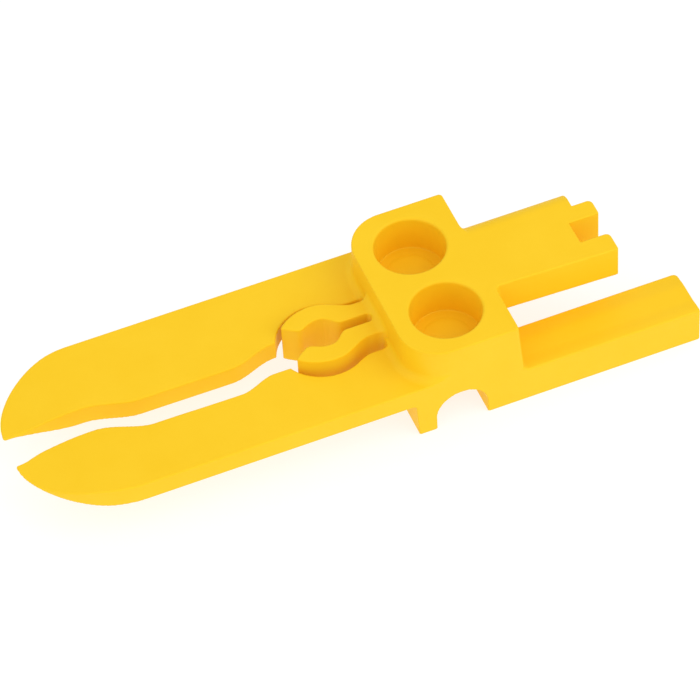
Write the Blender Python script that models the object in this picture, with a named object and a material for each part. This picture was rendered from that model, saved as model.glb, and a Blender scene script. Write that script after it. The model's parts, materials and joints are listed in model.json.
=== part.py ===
"""A one-piece plastic tyre lever with two blades, a hose clip, a pocket block and a stepped fork.

The tool is one moulding. It is drawn here as its named regions, each a closed solid, with a
hair gap where one region runs into the next. The two fingers of the clip are the regions that
spring, so each has its origin on the line at its root that it bends about.

Metres, +Z up. +X runs from the blade tips to the end of the bar, +Y to the rear. The origin is
at the middle of the underside of the tool's box.
"""

import math

import bmesh
import bpy

# Overall size
LENGTH = 0.120
WIDTH = 0.034
HEIGHT = 0.0188
FRONT_Y = -WIDTH / 2
REAR_Y = WIDTH / 2
SEAM = 0.0003

# Block
BLOCK_LEFT = 0.0070
BLOCK_RIGHT = 0.0262
BLOCK_RIGHT_DRAFT = 0.0009
CORNER_RADIUS = 0.0072
PLATE_BOTTOM = 0.0076
PLATE_TOP = 0.0116
BLOCK_SEAT = 0.0100
POCKET_RADIUS = 0.00625
POCKET_FLOOR = 0.0117
POCKET_X = 0.01655
POCKET_SPACING = 0.0158

# Arch, and the leg on its left
ARCH_X = 0.0154
ARCH_RADIUS = 0.0047
ARCH_SPRING_Z = 0.0028
LEG_FOOT_INSET = 0.0004

# Blades
BLADE_TIP_X = -LENGTH / 2
BLADE_MIDDLE_Z = (PLATE_BOTTOM + PLATE_TOP) / 2
BLADE_HALF_THICK = (PLATE_TOP - PLATE_BOTTOM) / 2
TAPER_START_X = -0.0613
TAPER_LENGTH = 0.0150
TIP_SHARE = 0.10
NOSE_BLUNT = 0.00012
BLADE_SPLIT_X = -0.0114
REAR_INNER = (
    (-0.060, 0.0032),
    (-0.046, 0.0029),
    (-0.036, 0.00072),
    (-0.0195, 0.00066),
    (-0.011, 0.00295),
)
FRONT_INNER = (
    (-0.060, -0.0030),
    (-0.0545, -0.00225),
    (-0.0455, -0.0024),
    (-0.0355, -0.00515),
    (-0.020, -0.0053),
    (-0.0133, -0.0033),
)
REAR_NOSE_X = -0.0437
REAR_NOSE_Y = 0.0034
FRONT_NOSE_X = -0.0415
FRONT_NOSE_Y = -0.0032
FRONT_NOSE_POWER = 1.85
REAR_NOSE_POWER = 1.88

# Clip
CLIP_X = -0.0029
CLIP_Y = 0.0002
CLIP_BOTTOM = 0.0056
CLIP_TOP = 0.0136
HOLE_RADIUS = 0.00303
RING_RADIUS = 0.0064
RING_REACH = 0.0078
FINGER_END = 0.0062
THROAT_HALF = 0.00175
THROAT_FLARE = ((-0.0030, THROAT_HALF), (-0.0045, 0.0025))
TIP_INSET = 0.0003
FLANK_START_DEG = 84
FLANK_END_DEG = 52
SLOT_HALF = 0.00093
NECK_HALF = 0.0039
NECK_START = 0.0062
CUT_OUT_X = -0.0031
CUT_OUT_RADIUS = 0.00805
CHANNEL_HALF = 0.0060
FINGER_ROOT_X = 0.00535
HINGE_X = 0.0055
HINGE_OFFSET = 0.0026

# Tongue and its stepped end
TONGUE_ROOT_FRONT = -0.0066
TONGUE_END_FRONT = -0.0074
TONGUE_REAR = 0.0098
TONGUE_BOTTOM = 0.0121
SHOULDER_RADIUS = 0.0038
NOTCH_X = 0.04355
NOTCH_FRONT = -0.0033
NOTCH_REAR = 0.0015
STEP_Y = 0.0050
STEP_END = 0.0456
REAR_PRONG_END = 0.0492
FRONT_PRONG_END = 0.0489

# Bar under the front of the fork
BAR_REAR = -0.0069
BAR_TOP = 0.0075
BAR_REAR_TOP = 0.00675
BAR_LIP = 0.0008
BAR_VALLEY_Y = -0.0146
BAR_VALLEY_Z = 0.00715
BAR_CROWN_Y = -0.0112
BAR_CROWN_Z = 0.00725

YELLOW = (0.95, 0.56, 0.01, 1.0)


def clear_scene():
    for thing in list(bpy.data.objects):
        bpy.data.objects.remove(thing, do_unlink=True)


def plastic(name, shade):
    """Yellow moulded plastic; shade lightens or darkens it a little."""
    material = bpy.data.materials.new(name)
    material.use_nodes = True
    shader = material.node_tree.nodes["Principled BSDF"]
    shader.inputs["Base Color"].default_value = [min(c * shade, 1.0) for c in YELLOW[:3]] + [1.0]
    shader.inputs["Roughness"].default_value = 0.42
    shader.inputs["Metallic"].default_value = 0.0
    return material


def loft(name, sections, shade=1.0, origin=(0, 0, 0)):
    """A closed solid through rings of equal point counts, with its origin where it is asked for."""
    mesh = bmesh.new()
    rings = []
    for section in sections:
        rings.append([mesh.verts.new([p - o for p, o in zip(point, origin)]) for point in section])
    count = len(rings[0])
    for lower, upper in zip(rings, rings[1:]):
        for i in range(count):
            j = (i + 1) % count
            mesh.faces.new((lower[i], lower[j], upper[j], upper[i]))
    mesh.faces.new(rings[0])
    mesh.faces.new(rings[-1])
    bmesh.ops.recalc_face_normals(mesh, faces=mesh.faces)
    data = bpy.data.meshes.new(name)
    mesh.to_mesh(data)
    mesh.free()
    piece = bpy.data.objects.new(name, data)
    piece.location = origin
    bpy.context.collection.objects.link(piece)
    data.materials.append(plastic(name + "_plastic", shade))
    data.shade_smooth()
    data.set_sharp_from_angle(angle=math.radians(35))
    return piece


def upright(name, outline, bottom, top, **options):
    """An outline in plan, drawn up from one level to another."""
    return loft(name, [[(x, y, z) for x, y in outline] for z in (bottom, top)], **options)


def along_x(name, profile, start, end, **options):
    """A profile of (y, z) points, drawn along X."""
    return loft(name, [[(x, y, z) for y, z in profile] for x in (start, end)], **options)


def along_y(name, profile, start, end, **options):
    """A profile of (x, z) points, drawn along Y."""
    return loft(name, [[(x, y, z) for x, z in profile] for y in (start, end)], **options)


def rectangle(left, front, right, rear):
    return [(left, front), (right, front), (right, rear), (left, rear)]


def arc(centre, radius, start, end, steps):
    """Points on an arc between two angles in degrees, both ends included."""
    angles = [math.radians(start + (end - start) * i / steps) for i in range(steps + 1)]
    return [(centre[0] + radius * math.cos(a), centre[1] + radius * math.sin(a)) for a in angles]


def ease(share):
    """0 to 1 with level ends."""
    share = min(max(share, 0.0), 1.0)
    return share * share * (3 - 2 * share)


def eased(x, knots):
    """The height at x of a curve that eases from each knot to the next."""
    for (x0, y0), (x1, y1) in zip(knots, knots[1:]):
        if x <= x1:
            return y0 + (y1 - y0) * ease((x - x0) / (x1 - x0))
    return knots[-1][1]


def wall_at(z):
    """Where the block's drafted right wall stands at a height."""
    return BLOCK_RIGHT + BLOCK_RIGHT_DRAFT * (HEIGHT - z) / (HEIGHT - PLATE_BOTTOM)


def block_outline(right, grow=0.0, steps=10):
    """The upper block in plan: square on the right, with two large round corners on the left."""
    left_x = BLOCK_LEFT + CORNER_RADIUS
    radius = CORNER_RADIUS + grow
    rear = arc((left_x, REAR_Y - CORNER_RADIUS), radius, 90, 180, steps)
    front = arc((left_x, FRONT_Y + CORNER_RADIUS), radius, 180, 270, steps)
    return rear + front + [(right, FRONT_Y - grow), (right, REAR_Y + grow)]


def take_away(piece, cutter):
    """Cuts one solid out of another and hides the cutter."""
    cutter.hide_render = True
    cutter.display_type = "WIRE"
    cut = piece.modifiers.new("cut", "BOOLEAN")
    cut.operation = "DIFFERENCE"
    cut.solver = "EXACT"
    cut.object = cutter


def pocket_cutter(y):
    bpy.ops.mesh.primitive_cylinder_add(
        vertices=40,
        radius=POCKET_RADIUS,
        depth=HEIGHT,
        location=(POCKET_X, y, POCKET_FLOOR + HEIGHT / 2),
    )
    cutter = bpy.context.object
    cutter.name = "pocket_cutter"
    return cutter


def make_block():
    """The block with its two blind pockets, and the plate that it is seated in."""
    rings = []
    for z in (BLOCK_SEAT + SEAM, HEIGHT):
        rings.append([(x, y, z) for x, y in block_outline(wall_at(z))])
    block = loft("pocket_block", rings)
    for y in (-POCKET_SPACING / 2, POCKET_SPACING / 2):
        take_away(block, pocket_cutter(y))
    rings = []
    for z in (PLATE_BOTTOM, PLATE_TOP):
        outline = rectangle(BLOCK_LEFT, FRONT_Y, wall_at(z), REAR_Y)
        rings.append([(x, y, z) for x, y in outline])
    plate = loft("base_plate", rings, shade=0.94)
    seat_outline = block_outline(LENGTH / 2, grow=SEAM)
    take_away(plate, upright("seat_cutter", seat_outline, BLOCK_SEAT, HEIGHT))


def make_underside():
    """The leg and the heel, each with its half of the arch between them."""
    top = PLATE_BOTTOM - SEAM
    crown = math.degrees(math.asin((top - ARCH_SPRING_Z) / ARCH_RADIUS))
    centre = (ARCH_X, ARCH_SPRING_Z)
    leg = [(BLOCK_LEFT + LEG_FOOT_INSET, 0), (ARCH_X - ARCH_RADIUS, 0)]
    leg += arc(centre, ARCH_RADIUS, 180, 180 - crown, 10)
    leg += [(BLOCK_LEFT, top)]
    along_y("support_leg", leg, FRONT_Y, REAR_Y, shade=0.97)
    heel = [(BLOCK_RIGHT + BLOCK_RIGHT_DRAFT, 0), (ARCH_X + ARCH_RADIUS, 0)]
    heel += arc(centre, ARCH_RADIUS, 0, crown, 10)
    heel += [(BLOCK_RIGHT + BLOCK_RIGHT_DRAFT, top)]
    along_y("heel_block", heel, FRONT_Y, REAR_Y, shade=1.02)


def blade_half_thick(x):
    """Half the blade's thickness: full along its length, easing down to a thin tip."""
    share = ease((x - TAPER_START_X) / TAPER_LENGTH)
    return BLADE_HALF_THICK * max(share, TIP_SHARE)


def nose(x, centre_x, centre_y, edge_y, power):
    """The outer edge of a blade, straight and then curving in round the nose."""
    if x >= centre_x:
        return edge_y
    share = (centre_x - x) / (centre_x - BLADE_TIP_X + NOSE_BLUNT)
    return centre_y + (edge_y - centre_y) * max(1 - share**power, 0.0) ** (1 / power)


def rear_edges(x):
    return eased(x, REAR_INNER), nose(x, REAR_NOSE_X, REAR_NOSE_Y, REAR_Y, REAR_NOSE_POWER)


def front_edges(x):
    return eased(x, FRONT_INNER), nose(x, FRONT_NOSE_X, FRONT_NOSE_Y, FRONT_Y, FRONT_NOSE_POWER)


def cut_out_edge(x, side):
    """The blade root's inner edge: an arc round the clip's ring, then a straight channel."""
    reach = max(CUT_OUT_RADIUS**2 - (x - CUT_OUT_X) ** 2, 0.0)
    round_part = math.sqrt(reach)
    if x > CUT_OUT_X:
        round_part = max(round_part, CHANNEL_HALF)
    return CLIP_Y + side * round_part


def blade_stations():
    """X positions from the tip to the root, close together round the nose."""
    nose_length = REAR_NOSE_X - BLADE_TIP_X
    steps = 14
    near = [BLADE_TIP_X + nose_length * (i / steps) ** 2 for i in range(steps + 1)]
    steps = 22
    length = BLADE_SPLIT_X - SEAM - near[-1]
    return near + [near[-1] + length * (i + 1) / steps for i in range(steps)]


def make_blade(name, edges, shade):
    sections = []
    for x in blade_stations():
        inner, outer = edges(x)
        half = blade_half_thick(x)
        low, high = BLADE_MIDDLE_Z - half, BLADE_MIDDLE_Z + half
        sections.append([(x, inner, low), (x, outer, low), (x, outer, high), (x, inner, high)])
    loft(name, sections, shade=shade)


def make_blade_root(name, knots, side, outer, shade):
    """The stretch of blade beside the clip, with the clip's cut-out in its inner edge."""
    start = CUT_OUT_X - math.sqrt(CUT_OUT_RADIUS**2 - (knots[-1][1] - CLIP_Y) ** 2)
    end = BLOCK_LEFT - SEAM
    middle = CUT_OUT_X + math.sqrt(CUT_OUT_RADIUS**2 - CHANNEL_HALF**2)
    steps = 20
    angle_start = math.acos((start - CUT_OUT_X) / CUT_OUT_RADIUS)
    angle_end = math.acos((middle - CUT_OUT_X) / CUT_OUT_RADIUS)
    inner = [(BLADE_SPLIT_X, knots[-1][1])]
    for i in range(steps + 1):
        angle = angle_start + (angle_end - angle_start) * i / steps
        x = CUT_OUT_X + CUT_OUT_RADIUS * math.cos(angle)
        inner.append((x, cut_out_edge(x, side)))
    inner.append((end, CLIP_Y + side * CHANNEL_HALF))
    outline = inner + [(end, outer), (BLADE_SPLIT_X, outer)]
    upright(name, outline, PLATE_BOTTOM, PLATE_TOP, shade=shade)


def finger_outline(side):
    """One clip finger in plan, from its root round the hole, out to the tip and back outside."""
    hole_start = math.degrees(math.asin(SLOT_HALF / HOLE_RADIUS))
    hole_end = 180 - math.degrees(math.asin(THROAT_HALF / HOLE_RADIUS))
    points = [(FINGER_ROOT_X - CLIP_X, SLOT_HALF)]
    points += arc((0, 0), HOLE_RADIUS, hole_start, hole_end, 12)
    points += THROAT_FLARE
    tip_angle = math.degrees(math.acos(FINGER_END / RING_REACH))
    tip_y = RING_RADIUS * math.sin(math.radians(tip_angle))
    points += [(-FINGER_END, tip_y - TIP_INSET)]
    for i in range(9):
        angle = math.radians(180 - tip_angle - (90 - tip_angle) * i / 8)
        points.append((RING_REACH * math.cos(angle), RING_RADIUS * math.sin(angle)))
    points += arc((0, 0), RING_RADIUS, FLANK_START_DEG, FLANK_END_DEG, 4)
    shoulder_x, shoulder_y = points[-1]
    for i in range(1, 7):
        share = i / 6
        x = shoulder_x + (NECK_START - shoulder_x) * share
        drop = 1 - (1 - share) ** 2
        points.append((x, shoulder_y + (NECK_HALF - shoulder_y) * drop))
    points.append((FINGER_ROOT_X - CLIP_X, NECK_HALF))
    return [(CLIP_X + x, CLIP_Y + side * y) for x, y in points]


def make_clip():
    for name, side in (("rear_clip_finger", 1), ("front_clip_finger", -1)):
        hinge = (HINGE_X, CLIP_Y + side * HINGE_OFFSET, CLIP_BOTTOM)
        upright(name, finger_outline(side), CLIP_BOTTOM, CLIP_TOP, shade=1.05, origin=hinge)
    root = rectangle(
        FINGER_ROOT_X + SEAM, CLIP_Y - NECK_HALF, BLOCK_LEFT - SEAM, CLIP_Y + NECK_HALF
    )
    upright("clip_root", root, CLIP_BOTTOM, CLIP_TOP, shade=0.9)


def tongue_front(x):
    """Where the tongue's front wall stands: the tongue widens a little towards its end."""
    share = (x - BLOCK_RIGHT) / (FRONT_PRONG_END - BLOCK_RIGHT)
    return TONGUE_ROOT_FRONT + (TONGUE_END_FRONT - TONGUE_ROOT_FRONT) * share


def shoulder_profile(front):
    """The tongue's (y, z) section from a front line to its rear, with the round rear shoulder."""
    centre = (TONGUE_REAR - SHOULDER_RADIUS, HEIGHT - SHOULDER_RADIUS)
    start = 90.0
    if front > centre[0]:
        start = math.degrees(math.acos((front - centre[0]) / SHOULDER_RADIUS))
    rounded = arc(centre, SHOULDER_RADIUS, start, 0, 10)
    top = [] if front > centre[0] else [(front, HEIGHT)]
    return [(front, TONGUE_BOTTOM)] + top + rounded + [(TONGUE_REAR, TONGUE_BOTTOM)]


def make_tongue():
    """The upper limb of the fork: a flat body whose end steps back from front to rear."""
    split = NOTCH_X - SEAM
    root_profile = shoulder_profile(tongue_front(BLOCK_RIGHT))
    root = [(wall_at(z) + SEAM, y, z) for y, z in root_profile]
    end = [(split, y, z) for y, z in shoulder_profile(tongue_front(split))]
    loft("tongue_body", [root, end], shade=1.03)
    along_x("shoulder_step", shoulder_profile(STEP_Y + SEAM), NOTCH_X, STEP_END, shade=0.96)
    rear = rectangle(NOTCH_X, NOTCH_REAR, REAR_PRONG_END, STEP_Y)
    upright("rear_prong", rear, TONGUE_BOTTOM, HEIGHT, shade=0.93)
    front = [(NOTCH_X, tongue_front(NOTCH_X)), (FRONT_PRONG_END, TONGUE_END_FRONT)]
    front += [(FRONT_PRONG_END, NOTCH_FRONT), (NOTCH_X, NOTCH_FRONT)]
    upright("front_prong", front, TONGUE_BOTTOM, HEIGHT, shade=0.98)


def make_bar():
    """The lower limb of the fork, with a low lip along its front edge."""
    profile = [
        (FRONT_Y, 0),
        (FRONT_Y, BAR_TOP),
        (FRONT_Y + BAR_LIP, BAR_TOP),
        (BAR_VALLEY_Y, BAR_VALLEY_Z),
        (BAR_CROWN_Y, BAR_CROWN_Z),
        (BAR_REAR, BAR_REAR_TOP),
        (BAR_REAR, 0),
    ]
    start = BLOCK_RIGHT + BLOCK_RIGHT_DRAFT + SEAM
    along_x("front_bar", profile, start, LENGTH / 2, shade=0.95)


def main():
    clear_scene()
    make_block()
    make_underside()
    make_blade("rear_blade", rear_edges, 1.0)
    make_blade("front_blade", front_edges, 1.04)
    make_blade_root("rear_blade_root", REAR_INNER, 1, REAR_Y, 0.92)
    make_blade_root("front_blade_root", FRONT_INNER, -1, FRONT_Y, 0.96)
    make_clip()
    make_tongue()
    make_bar()


main()
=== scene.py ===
"""The looks of the tyre lever: one satin yellow moulding, with the clip fingers as separate
pieces.

The tool's surface is where a distance function is zero. The function is in millimetres, in the
frame's axes, negative inside. Its planes come from the frame's boxes, and its rounds, fillets and
drafts are the named sizes below.
"""

import json
import math

import bmesh
import bpy
import numpy as np
from mathutils import Matrix, Vector


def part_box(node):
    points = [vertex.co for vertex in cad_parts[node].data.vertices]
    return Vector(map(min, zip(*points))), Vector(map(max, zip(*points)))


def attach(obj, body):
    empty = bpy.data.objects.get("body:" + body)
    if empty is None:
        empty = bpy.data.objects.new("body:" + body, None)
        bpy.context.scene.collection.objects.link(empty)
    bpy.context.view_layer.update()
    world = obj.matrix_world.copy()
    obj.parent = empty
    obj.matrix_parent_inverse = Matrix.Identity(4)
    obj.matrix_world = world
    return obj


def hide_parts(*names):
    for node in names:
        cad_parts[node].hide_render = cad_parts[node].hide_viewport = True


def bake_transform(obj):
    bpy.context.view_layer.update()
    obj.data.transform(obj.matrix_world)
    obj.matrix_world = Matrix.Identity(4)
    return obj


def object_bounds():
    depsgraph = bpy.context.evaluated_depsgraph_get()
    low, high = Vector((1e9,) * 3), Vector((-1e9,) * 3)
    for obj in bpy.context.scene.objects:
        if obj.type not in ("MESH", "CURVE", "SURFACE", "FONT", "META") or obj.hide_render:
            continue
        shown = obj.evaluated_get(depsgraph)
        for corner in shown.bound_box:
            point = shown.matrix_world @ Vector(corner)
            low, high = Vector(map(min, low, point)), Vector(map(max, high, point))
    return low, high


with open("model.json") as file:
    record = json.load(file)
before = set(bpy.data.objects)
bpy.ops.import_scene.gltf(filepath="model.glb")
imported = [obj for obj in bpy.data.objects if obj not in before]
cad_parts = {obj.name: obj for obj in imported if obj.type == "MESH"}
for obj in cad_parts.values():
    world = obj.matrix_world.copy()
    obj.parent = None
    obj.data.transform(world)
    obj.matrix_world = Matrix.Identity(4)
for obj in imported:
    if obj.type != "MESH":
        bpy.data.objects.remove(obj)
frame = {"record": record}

CAD_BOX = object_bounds()
MM = 1000.0


def corners(node):
    """A CAD node's lowest and highest corners, in millimetres."""
    low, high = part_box(node)
    return low * MM, high * MM


# Planes taken from the frame
_, BLOCK_HIGH = corners("pocket_block")
PLATE_LOW, PLATE_HIGH = corners("base_plate")
_, LEG_HIGH = corners("support_leg")
TIP_LOW, _ = corners("rear_blade")
REAR_FINGER_LOW, REAR_FINGER_HIGH = corners("rear_clip_finger")
FRONT_FINGER_LOW, _ = corners("front_clip_finger")
TONGUE_LOW, TONGUE_HIGH = corners("tongue_body")
_, STEP_HIGH = corners("shoulder_step")
REAR_PRONG_LOW, REAR_PRONG_HIGH = corners("rear_prong")
FRONT_PRONG_LOW, FRONT_PRONG_HIGH = corners("front_prong")
BAR_LOW, BAR_HIGH = corners("front_bar")
HALF_WIDTH = BLOCK_HIGH.y
TOP = BLOCK_HIGH.z

# Mesh
PITCH = 0.25
GRID_MARGIN = 3
GRID_SHIFT = 0.137
SLAB = 40
TRIANGLE_SHARE = 0.40
CURVE_STEP = 0.02
SLOPE_STEP = 0.01

# Rounds on outer edges
EDGE = 0.25
LOWER_EDGE = 0.12
RIM = 0.50

# Block
WALL_DRAFT = 0.9
LEFT_CORNER = 7.2
RIGHT_CORNER = 0.7
BLADE_FILLET = 1.6
POCKET_RADIUS = 6.25
POCKET_DRAFT = 0.03
POCKET_X = 16.55
POCKET_Y = 7.9
POCKET_FLOOR_Z = 11.7
POCKET_FLOOR_FILLET = 0.2
EJECTOR_RADIUS = 4.4
EJECTOR_STEP = 0.08
EJECTOR_SLOPE = 0.5

# Arch and leg
ARCH_X = 15.4
ARCH_RADIUS = 4.7
ARCH_SPRING_Z = 2.8
LEG_LEAN = 0.4
LEG_FILLET = 0.5

# Blades
BLADE_MIDDLE = (PLATE_LOW.z + PLATE_HIGH.z) / 2
BLADE_HALF = (PLATE_HIGH.z - PLATE_LOW.z) / 2
TAPER_START = -61.3
TAPER_LENGTH = 15.0
TIP_SHARE = 0.10
TIP_ROUND = 0.4
REAR_INNER = ((-60.0, 3.2), (-46.0, 2.9), (-36.0, 0.72), (-19.5, 0.66), (-11.0, 2.95))
FRONT_INNER = (
    (-60.0, -3.0),
    (-54.5, -2.25),
    (-45.5, -2.4),
    (-35.5, -5.15),
    (-20.0, -5.3),
    (-13.3, -3.3),
)

# Noses: where the round starts in x, the middle it turns about in y, the superellipse's power
REAR_NOSE = (-43.7, 3.4, 1.88)
FRONT_NOSE = (-41.5, -3.2, 1.85)
NOSE_CORE = 0.02

# Clip
CLIP_Y = (REAR_FINGER_HIGH.y + FRONT_FINGER_LOW.y) / 2
FINGER_END = 6.2
CLIP_X = REAR_FINGER_LOW.x + FINGER_END
RING_RADIUS = 6.4
RING_REACH = 7.8
RING_CORE = 0.1
NECK_HALF = 3.9
NECK_FILLET = 1.8
HOLE_RADIUS = 3.03
SLOT_HALF = 0.90
SLOT_END = 9.1
SLOT_LIP = 1.0
THROAT_HALF = 1.55
THROAT_X = -2.8
THROAT_FLARE = 0.42
THROAT_POWER = 1.33
THROAT_LIP = 1.6
THROAT_SLOPE = 0.9
CLIP_ROOT_FILLET = 0.6
CUT_OUT_X = -3.1
CUT_OUT_RADIUS = 8.05
CHANNEL_HALF = 6.0
CHANNEL_FILLET = 1.0
FINGER_CUT_X = 5.3
CLIP_MARGIN = 0.5

# How far from the cut through the fingers' roots a face may be and still be sliced
CUT_REACH_X = 2
CUT_REACH_Y = 0.8
CUT_REACH_Z = 0.1
CUT_SNAP = 1e-7

# Tongue
SHOULDER_RADIUS = 3.8
TONGUE_FILLET = 0.9
TONGUE_ROOT_X = 26.2
TONGUE_ROOT_FRONT = -6.6
REAR_CORNER = 0.9
FRONT_CORNER = 0.35
STEP_OVERLAP = 1

# Bar: heights of its top from the front edge to the rear
BAR_TOP = ((-17.0, 7.5), (-16.5, 7.48), (-13.6, 7.18), (-10.8, 7.22), (-6.9, 6.75))
BAR_FILLET = 0.8
BAR_OVERLAP = 2

# Plastic: colours are linear, scales are per metre
PLASTIC_DEEP = (0.955, 0.590, 0.0090, 1)
PLASTIC_LIGHT = (0.975, 0.615, 0.0140, 1)
PLASTIC_IOR = 1.49
PLASTIC_SPECULAR = 0.20
ROUGHNESS_LOW = 0.46
ROUGHNESS_HIGH = 0.60
CLOUD = (90.0, 5.0, 0.6)
CLOUD_EDGES = (0.30, 0.70)
SMEAR = (260.0, 4.0, 0.5)
GRAIN = (2600.0, 3.0, 0.5)
GRAIN_STRENGTH = 0.12
GRAIN_DEPTH = 0.00005

# Studio, in metres and watts
FLOOR_SIZE = 6
FLOOR_Z = -0.00005
FLOOR_COLOUR = (0.32, 0.32, 0.32, 1)
FLOOR_ROUGHNESS = 0.9
FLOOR_GLOW = 0.74
KEY_PLACE = (0.50, -0.42, 0.62)
KEY_POWER = 2.3
FILL_PLACE = (-0.62, -0.20, 0.42)
FILL_POWER = 1.0
LIGHT_SIZE = 0.90
WHITE = (1.0, 1.0, 1.0, 1)

# Dome: brightness from the horizon up to a height, and from the front round to the back
DOME_HEIGHTS = (0.0, 0.75)
DOME_RISE = (0.84, 1.05)
DOME_DEPTHS = (-1.0, 1.0)
DOME_FADE = (0.88, 0.70)

# Camera
AZIMUTH = math.radians(-19.32)
ELEVATION = math.radians(49.41)
ROLL = math.radians(-3.77)
DISTANCE = 0.7735
AIM = Vector((0.0017, 0.0, 0.0069))
LENS = 231.8
SENSOR = 36.0


def meet(a, b, radius):
    """What two shapes share, with a round of that radius on the edge between them."""
    outside = np.hypot(np.maximum(a + radius, 0), np.maximum(b + radius, 0))
    return np.minimum(np.maximum(a, b), -radius) + outside


def join(a, b, radius):
    """Both shapes, with a fillet of that radius in the corner between them."""
    return -meet(-a, -b, radius)


def cut(a, b, radius):
    """The first shape without the second, with a round on the rim."""
    return meet(a, -b, radius)


def plan_box(x, y, left, right, front, rear, radius):
    """A rectangle in plan with round corners."""
    across = np.abs(x - (left + right) / 2) - (right - left) / 2 + radius
    along = np.abs(y - (front + rear) / 2) - (rear - front) / 2 + radius
    outside = np.hypot(np.maximum(across, 0), np.maximum(along, 0))
    return outside + np.minimum(np.maximum(across, along), 0) - radius


def end_box(x, y, left, right, front, rear):
    """A limb's end in plan: its rear corner is rounder than its front one."""
    corner = np.where(y > (front + rear) / 2, REAR_CORNER, FRONT_CORNER)
    return plan_box(x, y, left, right, front, rear, corner)


def smooth_step(share):
    share = np.clip(share, 0, 1)
    return share * share * (3 - 2 * share)


def eased(x, knots):
    """The height at x of a curve that eases from each knot to the next."""
    place = np.array([k[0] for k in knots])
    height = np.array([k[1] for k in knots])
    i = np.clip(np.searchsorted(place, x) - 1, 0, len(knots) - 2)
    share = (x - place[i]) / (place[i + 1] - place[i])
    return height[i] + (height[i + 1] - height[i]) * smooth_step(share)


def under(height, curve, at):
    """Distance to a curve of one variable, corrected for its slope."""
    slope = (curve(at + CURVE_STEP) - curve(at - CURVE_STEP)) / (2 * CURVE_STEP)
    return (height - curve(at)) / np.sqrt(1 + slope * slope)


def nose(x, y, shape, side):
    """The blade's outer edge: straight, then round the nose on a superellipse."""
    centre_x, centre_y, power = shape
    length = centre_x - TIP_LOW.x
    width = side * HALF_WIDTH - centre_y
    u = np.maximum((centre_x - x) / length, 0)
    v = np.maximum((y - centre_y) / width, NOSE_CORE)
    size = (u**power + v**power) ** (1 / power)
    slope = np.hypot((u / size) ** (power - 1) / length, (v / size) ** (power - 1) / width)
    return (size - 1) / slope


def cut_out(x, y):
    """The gap round the clip in plan: a round end and a channel to the block."""
    end = np.hypot(x - CUT_OUT_X, y - CLIP_Y) - CUT_OUT_RADIUS
    channel = np.maximum(np.abs(y - CLIP_Y) - CHANNEL_HALF, CUT_OUT_X - x)
    return join(end, channel, CHANNEL_FILLET)


def blade(x, y, z, knots, shape, side):
    inner = side * -under(y, lambda at: eased(at, knots), x)
    plan = meet(inner, nose(x, y, shape, side), TIP_ROUND)
    plan = cut(plan, cut_out(x, y), LOWER_EDGE)
    share = smooth_step((x - TAPER_START) / TAPER_LENGTH)
    half = BLADE_HALF * np.maximum(share, TIP_SHARE)
    solid = meet(plan, z - BLADE_MIDDLE - half, np.minimum(EDGE, half))
    solid = meet(solid, BLADE_MIDDLE - z - half, np.minimum(LOWER_EDGE, half))
    return np.maximum(solid, x - LEG_HIGH.x)


def ring(x, y):
    """The clip's outline in plan, about its own centre: an ellipse ahead and a circle behind."""
    reach = np.where(x < 0, RING_REACH, RING_RADIUS)
    size = np.maximum(np.hypot(x / reach, y / RING_RADIUS), RING_CORE)
    slope = np.hypot(x / reach**2, y / RING_RADIUS**2) / size
    return (size - 1) / slope


def clip_opening(x, y):
    """The hole, the slot behind it and the flared throat ahead of it, about the clip's centre."""
    hole = np.hypot(x, y) - HOLE_RADIUS
    past = np.maximum(x - (SLOT_END - SLOT_HALF), 0)
    slot = np.maximum(np.hypot(y, past) - SLOT_HALF, -x)
    spread = THROAT_HALF + THROAT_FLARE * np.maximum(THROAT_X - x, 0) ** THROAT_POWER
    throat = np.maximum((np.abs(y) - spread) * THROAT_SLOPE, x)
    return join(join(hole, slot, SLOT_LIP), throat, THROAT_LIP)


def clip_plan(x, y):
    x = x - CLIP_X
    y = y - CLIP_Y
    neck = np.maximum(np.abs(y) - NECK_HALF, -x)
    outline = join(ring(x, y), neck, NECK_FILLET)
    return cut(outline, clip_opening(x, y), LOWER_EDGE)


def clip(x, y, z):
    solid = meet(clip_plan(x, y), z - REAR_FINGER_HIGH.z, EDGE)
    solid = meet(solid, REAR_FINGER_LOW.z - z, LOWER_EDGE)
    return np.maximum(solid, x - LEG_HIGH.x)


def right_wall(z):
    """Where the block's drafted right wall stands."""
    share = (z - PLATE_LOW.z) / (TOP - PLATE_LOW.z)
    return PLATE_HIGH.x - WALL_DRAFT * np.clip(share, 0, 1)


def left_wall(z):
    """The leg's left wall, which leans in towards its foot."""
    share = np.clip(1 - z / LEG_HIGH.z, 0, 1)
    return PLATE_LOW.x + LEG_LEAN * share


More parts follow.
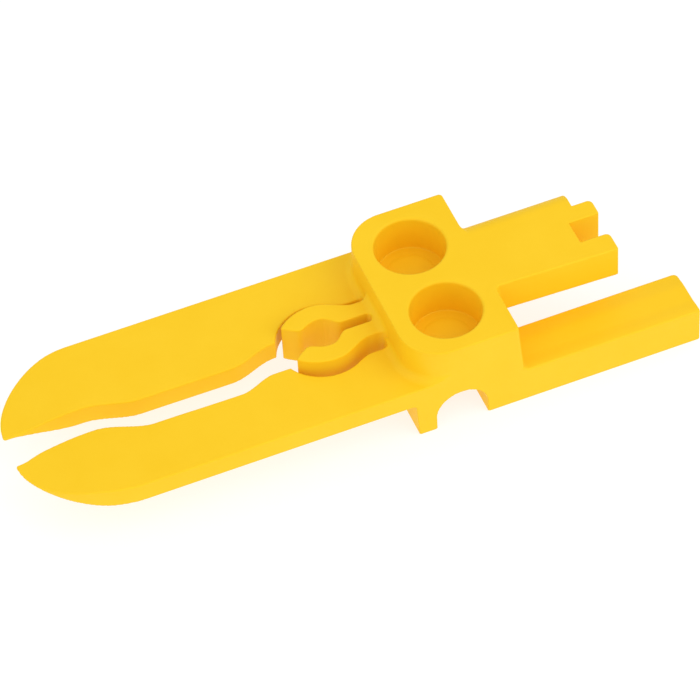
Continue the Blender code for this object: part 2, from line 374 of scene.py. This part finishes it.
def core(x, y, z):
    """Blades, clip, block, leg and heel, before the pockets."""
    side_faces = np.abs(y) - HALF_WIDTH
    feet = np.maximum(np.maximum(left_wall(z) - x, z - BLADE_MIDDLE), side_faces)
    blades = np.minimum(
        blade(x, y, z, REAR_INNER, REAR_NOSE, 1),
        blade(x, y, z, FRONT_INNER, FRONT_NOSE, -1),
    )
    plate = np.maximum(PLATE_LOW.x - x, BLADE_MIDDLE - z)
    plate = np.maximum(meet(z - PLATE_HIGH.z, side_faces, EDGE), plate)
    low = np.minimum(join(feet, blades, LEG_FILLET), plate)
    low = join(low, clip(x, y, z), CLIP_ROOT_FILLET)
    wall = right_wall(z)
    middle = (PLATE_LOW.x + wall) / 2
    corner = np.where(x < middle, LEFT_CORNER, RIGHT_CORNER)
    upper = plan_box(x, y, PLATE_LOW.x, wall, -HALF_WIDTH, HALF_WIDTH, corner)
    upper = meet(upper, z - TOP, EDGE)
    upper = np.maximum(upper, PLATE_LOW.z - z)
    whole = join(upper, low, BLADE_FILLET)
    envelope = plan_box(x, y, 2 * CAD_BOX[0].x * MM, wall, -HALF_WIDTH, HALF_WIDTH, RIGHT_CORNER)
    return np.maximum(whole, envelope)


def tongue(x, y, z):
    """The upper limb, whose end steps back behind a pair of prongs."""
    inside = ARCH_X
    share = (x - TONGUE_ROOT_X) / (FRONT_PRONG_HIGH.x - TONGUE_ROOT_X)
    face = TONGUE_ROOT_FRONT + (FRONT_PRONG_LOW.y - TONGUE_ROOT_FRONT) * share
    plan = np.maximum(np.maximum(face - y, y - TONGUE_HIGH.y), x - REAR_PRONG_LOW.x)
    ends = (
        (STEP_HIGH.x, REAR_PRONG_HIGH.y - STEP_OVERLAP, STEP_HIGH.y),
        (REAR_PRONG_HIGH.x, REAR_PRONG_LOW.y, REAR_PRONG_HIGH.y),
        (FRONT_PRONG_HIGH.x, face, FRONT_PRONG_HIGH.y),
    )
    for end, front, rear in ends:
        plan = np.minimum(plan, end_box(x, y, inside, end, front, rear))
    plan = np.maximum(plan, inside - x)
    middle = (TONGUE_LOW.z + TOP) / 2
    solid = meet(plan, np.abs(z - middle) - (TOP - TONGUE_LOW.z) / 2, EDGE)
    shoulder = meet(y - TONGUE_HIGH.y, z - TOP, SHOULDER_RADIUS)
    return np.maximum(solid, shoulder)


def bar(x, y, z):
    """The lower limb, with a low lip along its front edge."""
    inside = ARCH_X + ARCH_RADIUS + BAR_OVERLAP
    plan = end_box(x, y, inside, BAR_HIGH.x, BAR_LOW.y, BAR_HIGH.y)
    return meet(plan, under(z, lambda at: eased(at, BAR_TOP), y), EDGE)


def pockets(x, y, z):
    """The two blind round pockets, each with an ejector's faint disc on its floor."""
    radius = np.hypot(x - POCKET_X, np.abs(y) - POCKET_Y)
    wall = radius - POCKET_RADIUS + POCKET_DRAFT * (TOP - z)
    disc = EJECTOR_STEP * smooth_step((EJECTOR_RADIUS - radius) / EJECTOR_SLOPE)
    return meet(wall, POCKET_FLOOR_Z + disc - z, POCKET_FLOOR_FILLET)


def arch(x, z):
    return np.hypot(x - ARCH_X, np.maximum(z - ARCH_SPRING_Z, 0)) - ARCH_RADIUS


def tool(x, y, z):
    """Distance from the tool's surface, in millimetres."""
    solid = join(core(x, y, z), tongue(x, y, z), TONGUE_FILLET)
    solid = np.maximum(solid, z - TOP)
    solid = join(solid, bar(x, y, z), BAR_FILLET)
    solid = np.maximum(solid, np.abs(y) - HALF_WIDTH)
    solid = cut(solid, pockets(x, y, z), RIM)
    solid = cut(solid, arch(x, z), LOWER_EDGE)
    return meet(solid, -z, LOWER_EDGE)


def sample_grid():
    """The distance at every point of a grid a little larger than the tool."""
    low = np.array(CAD_BOX[0]) * MM - GRID_MARGIN * PITCH
    high = np.array(CAD_BOX[1]) * MM + GRID_MARGIN * PITCH
    xs, ys, zs = (np.arange(a, b, PITCH) + PITCH * GRID_SHIFT for a, b in zip(low, high))
    field = np.empty((len(xs), len(ys), len(zs)), np.float32)
    for start in range(0, len(xs), SLAB):
        x, y, z = np.meshgrid(xs[start : start + SLAB], ys, zs, indexing="ij")
        field[start : start + SLAB] = tool(x, y, z)
    return field, np.array([xs[0], ys[0], zs[0]])


def net_points(field, cells):
    """In each cell that the surface crosses, the mean of where it crosses the cell's edges."""
    total = np.zeros((len(cells), 3))
    count = np.zeros(len(cells))
    for axis in range(3):
        for other in range(4):
            near = np.zeros(3, int)
            near[(axis + 1) % 3] = other & 1
            near[(axis + 2) % 3] = other >> 1
            far = near.copy()
            far[axis] = 1
            value_near = field[tuple((cells + near).T)].astype(float)
            value_far = field[tuple((cells + far).T)].astype(float)
            crossed = (value_near < 0) != (value_far < 0)
            share = value_near[crossed] / (value_near[crossed] - value_far[crossed])
            total[crossed] += near + share[:, None] * (far - near)
            count[crossed] += 1
    return cells + total / count[:, None]


def net_faces(inside, index):
    """A quad round each grid edge that the surface crosses, facing out."""
    faces = []
    for axis in range(3):
        first = [slice(1, -1)] * 3
        second = [slice(1, -1)] * 3
        first[axis] = slice(0, -1)
        second[axis] = slice(1, None)
        near, far = inside[tuple(first)], inside[tuple(second)]
        step_u = np.eye(3, dtype=int)[(axis + 1) % 3]
        step_v = np.eye(3, dtype=int)[(axis + 2) % 3]
        offset = np.ones(3, int)
        offset[axis] = 0
        for crossed, turn in ((near & ~far, 1), (~near & far, -1)):
            edge = np.argwhere(crossed) + offset
            ring_cells = (edge - step_u - step_v, edge - step_v, edge, edge - step_u)
            quad = np.stack([index[tuple(c.T)] for c in ring_cells], axis=1)
            faces.append(quad[:, ::turn])
    return np.concatenate(faces)


def slopes(points):
    """The surface's outward normals at points near it, and their distances from it."""
    x, y, z = points.T
    step = SLOPE_STEP
    gradient = np.stack(
        [
            tool(x + step, y, z) - tool(x - step, y, z),
            tool(x, y + step, z) - tool(x, y - step, z),
            tool(x, y, z + step) - tool(x, y, z - step),
        ],
        axis=1,
    )
    length = np.maximum(np.linalg.norm(gradient, axis=1), 1e-6)
    return gradient / length[:, None], tool(x, y, z) * 2 * step / length


def settle(points, rounds=4):
    """Points moved on to the surface."""
    for _ in range(rounds):
        normal, distance = slopes(points)
        points = points - normal * np.clip(distance, -PITCH, PITCH)[:, None]
    return points


def surface_mesh():
    """The whole tool's surface as a mesh, in metres, thinned where it is flat."""
    field, origin = sample_grid()
    inside = field < 0
    held = sum(
        inside[i : i - 1 or None, j : j - 1 or None, k : k - 1 or None].astype(np.int8)
        for i in (0, 1)
        for j in (0, 1)
        for k in (0, 1)
    )
    active = (held > 0) & (held < 8)
    cells = np.argwhere(active)
    index = np.full(active.shape, -1, np.int32)
    index[active] = np.arange(len(cells))
    points = settle(origin + PITCH * net_points(field, cells))
    faces = net_faces(inside, index)
    mesh = bpy.data.meshes.new("tool_surface")
    mesh.from_pydata((points / MM).tolist(), [], faces.tolist())
    mesh.update()
    thinned = bpy.data.objects.new("tool_surface", mesh)
    bpy.context.scene.collection.objects.link(thinned)
    thin = thinned.modifiers.new("thin", "DECIMATE")
    thin.ratio = TRIANGLE_SHARE
    bpy.context.view_layer.update()
    result = bpy.data.meshes.new_from_object(
        thinned.evaluated_get(bpy.context.evaluated_depsgraph_get())
    )
    bpy.data.objects.remove(thinned)
    return result


def finger_sides(centres):
    """For face centres in mm: 1 on the rear clip finger, -1 on the front one, 0 elsewhere."""
    x, y, _ = centres.T
    on_clip = (x < FINGER_CUT_X) & (clip_plan(x, y) < CLIP_MARGIN)
    return np.where(on_clip, np.where(y > CLIP_Y, 1, -1), 0)


def face_centres(mesh):
    return np.array([f.calc_center_median() for f in mesh.faces]) * MM


def take_part(surface, name, side):
    """The closed piece of the surface with that finger side, its cut ends capped."""
    mesh = bmesh.new()
    mesh.from_mesh(surface)
    x, y, z = face_centres(mesh).T
    near = np.abs(x - FINGER_CUT_X) < CUT_REACH_X
    near &= np.abs(y - CLIP_Y) < NECK_HALF + CUT_REACH_Y
    near &= (z < REAR_FINGER_HIGH.z + CUT_REACH_Z) & (z > REAR_FINGER_LOW.z - CUT_REACH_Z)
    clip_faces = [f for f, is_near in zip(mesh.faces, near) if is_near]
    geometry = clip_faces + list({e for f in clip_faces for e in f.edges})
    geometry += list({v for f in clip_faces for v in f.verts})
    bmesh.ops.bisect_plane(
        mesh,
        geom=geometry,
        dist=CUT_SNAP,
        plane_co=(FINGER_CUT_X / MM, 0, 0),
        plane_no=(1, 0, 0),
    )
    sides = finger_sides(face_centres(mesh))
    gone = [f for f, found in zip(mesh.faces, sides) if found != side]
    bmesh.ops.delete(mesh, geom=gone, context="FACES")
    open_edges = [e for e in mesh.edges if e.is_boundary]
    caps = bmesh.ops.holes_fill(mesh, edges=open_edges, sides=0)["faces"]
    for face in mesh.faces:
        face.smooth = True
    for face in caps:
        face.smooth = False
    bmesh.ops.recalc_face_normals(mesh, faces=mesh.faces)
    data = bpy.data.meshes.new(name)
    mesh.to_mesh(data)
    mesh.free()
    piece = bpy.data.objects.new(name, data)
    bpy.context.scene.collection.objects.link(piece)
    set_normals(data)
    return piece


def set_normals(data):
    """Shading normals straight from the shape's own slope, so that flat faces shade flat."""
    points = np.empty(len(data.vertices) * 3)
    data.vertices.foreach_get("co", points)
    normal, _ = slopes(points.reshape(-1, 3) * MM)
    corner_vertex = np.empty(len(data.loops), int)
    data.loops.foreach_get("vertex_index", corner_vertex)
    corner_normal = normal[corner_vertex]
    for face in data.polygons:
        if not face.use_smooth:
            corner_normal[face.loop_start : face.loop_start + face.loop_total] = face.normal
    data.normals_split_custom_set(corner_normal.tolist())


def set_inputs(node, **values):
    """Sets a node's inputs by name, with spaces written as underscores."""
    for name, value in values.items():
        node.inputs[name.replace("_", " ")].default_value = value


def noise(tree, place, shape):
    """A noise texture in the object's own space, from its scale, detail and roughness."""
    scale, detail, roughness = shape
    texture = tree.nodes.new("ShaderNodeTexNoise")
    set_inputs(texture, Scale=scale, Detail=detail, Roughness=roughness)
    tree.links.new(place.outputs["Object"], texture.inputs["Vector"])
    return texture.outputs["Fac"]


def ranged(tree, value, source, target):
    """A value carried from one range to another."""
    node = tree.nodes.new("ShaderNodeMapRange")
    set_inputs(node, From_Min=source[0], From_Max=source[1])
    set_inputs(node, To_Min=target[0], To_Max=target[1])
    tree.links.new(value, node.inputs["Value"])
    return node


def make_plastic():
    """Satin moulded plastic: a slight cloudiness in colour and gloss, and a very fine grain."""
    material = bpy.data.materials.new("yellow_moulded_plastic")
    material.use_nodes = True
    tree = material.node_tree
    nodes, links = tree.nodes, tree.links
    shader = nodes["Principled BSDF"]
    shader.inputs["Metallic"].default_value = 0.0
    shader.inputs["IOR"].default_value = PLASTIC_IOR
    shader.inputs["Specular IOR Level"].default_value = PLASTIC_SPECULAR
    place = nodes.new("ShaderNodeTexCoord")

    colour = nodes.new("ShaderNodeValToRGB")
    for stop, edge, shade in zip(
        colour.color_ramp.elements, CLOUD_EDGES, (PLASTIC_DEEP, PLASTIC_LIGHT)
    ):
        stop.position = edge
        stop.color = shade
    links.new(noise(tree, place, CLOUD), colour.inputs["Fac"])
    links.new(colour.outputs["Color"], shader.inputs["Base Color"])

    gloss = ranged(tree, noise(tree, place, SMEAR), (0, 1), (ROUGHNESS_LOW, ROUGHNESS_HIGH))
    links.new(gloss.outputs["Result"], shader.inputs["Roughness"])

    bump = nodes.new("ShaderNodeBump")
    set_inputs(bump, Strength=GRAIN_STRENGTH, Distance=GRAIN_DEPTH)
    links.new(noise(tree, place, GRAIN), bump.inputs["Height"])
    links.new(bump.outputs["Normal"], shader.inputs["Normal"])
    return material


def make_pieces():
    surface = surface_mesh()
    plastic = make_plastic()
    body = take_part(surface, "moulding_skin", 0)
    moulding_nodes = frame["record"]["behaviour"]["bodies"]["moulding"]
    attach(body, "moulding")
    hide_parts(*moulding_nodes)
    pieces = [body]
    for name, side in (("rear", 1), ("front", -1)):
        finger = take_part(surface, f"{name}_finger_skin", side)
        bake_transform(finger)
        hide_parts(f"{name}_clip_finger")
        pieces.append(finger)
    for piece in pieces:
        piece.data.materials.clear()
        piece.data.materials.append(plastic)


def area_light(name, place, power):
    """A round soft light that looks at the middle of the floor."""
    data = bpy.data.lights.new(name, "AREA")
    data.shape = "DISK"
    data.size = LIGHT_SIZE
    data.energy = power
    light = bpy.data.objects.new(name, data)
    light.location = place
    light.rotation_mode = "QUATERNION"
    light.rotation_quaternion = (-Vector(place)).to_track_quat("-Z", "Y")
    bpy.context.scene.collection.objects.link(light)


def make_dome():
    """A soft white dome: brightest overhead and in front, dimmer at the horizon and the back."""
    world = bpy.data.worlds.new("dome")
    world.use_nodes = True
    tree = world.node_tree
    nodes, links = tree.nodes, tree.links
    place = nodes.new("ShaderNodeTexCoord")
    parts = nodes.new("ShaderNodeSeparateXYZ")
    links.new(place.outputs["Generated"], parts.inputs["Vector"])
    rise = ranged(tree, parts.outputs["Z"], DOME_HEIGHTS, DOME_RISE)
    rise.interpolation_type = "SMOOTHSTEP"
    fade = ranged(tree, parts.outputs["Y"], DOME_DEPTHS, DOME_FADE)
    product = nodes.new("ShaderNodeMath")
    product.operation = "MULTIPLY"
    links.new(rise.outputs["Result"], product.inputs[0])
    links.new(fade.outputs["Result"], product.inputs[1])
    background = nodes["Background"]
    background.inputs["Color"].default_value = WHITE
    links.new(product.outputs["Value"], background.inputs["Strength"])
    bpy.context.scene.world = world


def make_studio():
    """A pale floor under the dome, with a soft light at the front right and a weaker one left."""
    bpy.ops.mesh.primitive_plane_add(size=FLOOR_SIZE, location=(0, 0, FLOOR_Z))
    floor = bpy.context.object
    floor.name = "floor"
    paper = bpy.data.materials.new("white_paper")
    paper.use_nodes = True
    shader = paper.node_tree.nodes["Principled BSDF"]
    shader.inputs["Base Color"].default_value = FLOOR_COLOUR
    shader.inputs["Roughness"].default_value = FLOOR_ROUGHNESS
    shader.inputs["Specular IOR Level"].default_value = 0.0
    shader.inputs["Emission Color"].default_value = WHITE
    shader.inputs["Emission Strength"].default_value = FLOOR_GLOW
    floor.data.materials.append(paper)
    make_dome()
    area_light("key", KEY_PLACE, KEY_POWER)
    area_light("fill", FILL_PLACE, FILL_POWER)


def make_camera():
    back = Vector(
        (
            math.sin(AZIMUTH) * math.cos(ELEVATION),
            -math.cos(AZIMUTH) * math.cos(ELEVATION),
            math.sin(ELEVATION),
        )
    )
    right = Vector((math.cos(AZIMUTH), math.sin(AZIMUTH), 0))
    up = back.cross(right)
    across = right * math.cos(ROLL) + up * math.sin(ROLL)
    rise = up * math.cos(ROLL) - right * math.sin(ROLL)
    data = bpy.data.cameras.new("camera")
    data.lens = LENS
    data.sensor_width = SENSOR
    camera = bpy.data.objects.new("camera", data)
    turn = Matrix((across, rise, back)).transposed().to_4x4()
    camera.matrix_world = Matrix.Translation(AIM + back * DISTANCE) @ turn
    bpy.context.scene.collection.objects.link(camera)
    bpy.context.scene.camera = camera


make_camera()
make_pieces()
make_studio()
bpy.context.scene.view_settings.view_transform = "Standard"
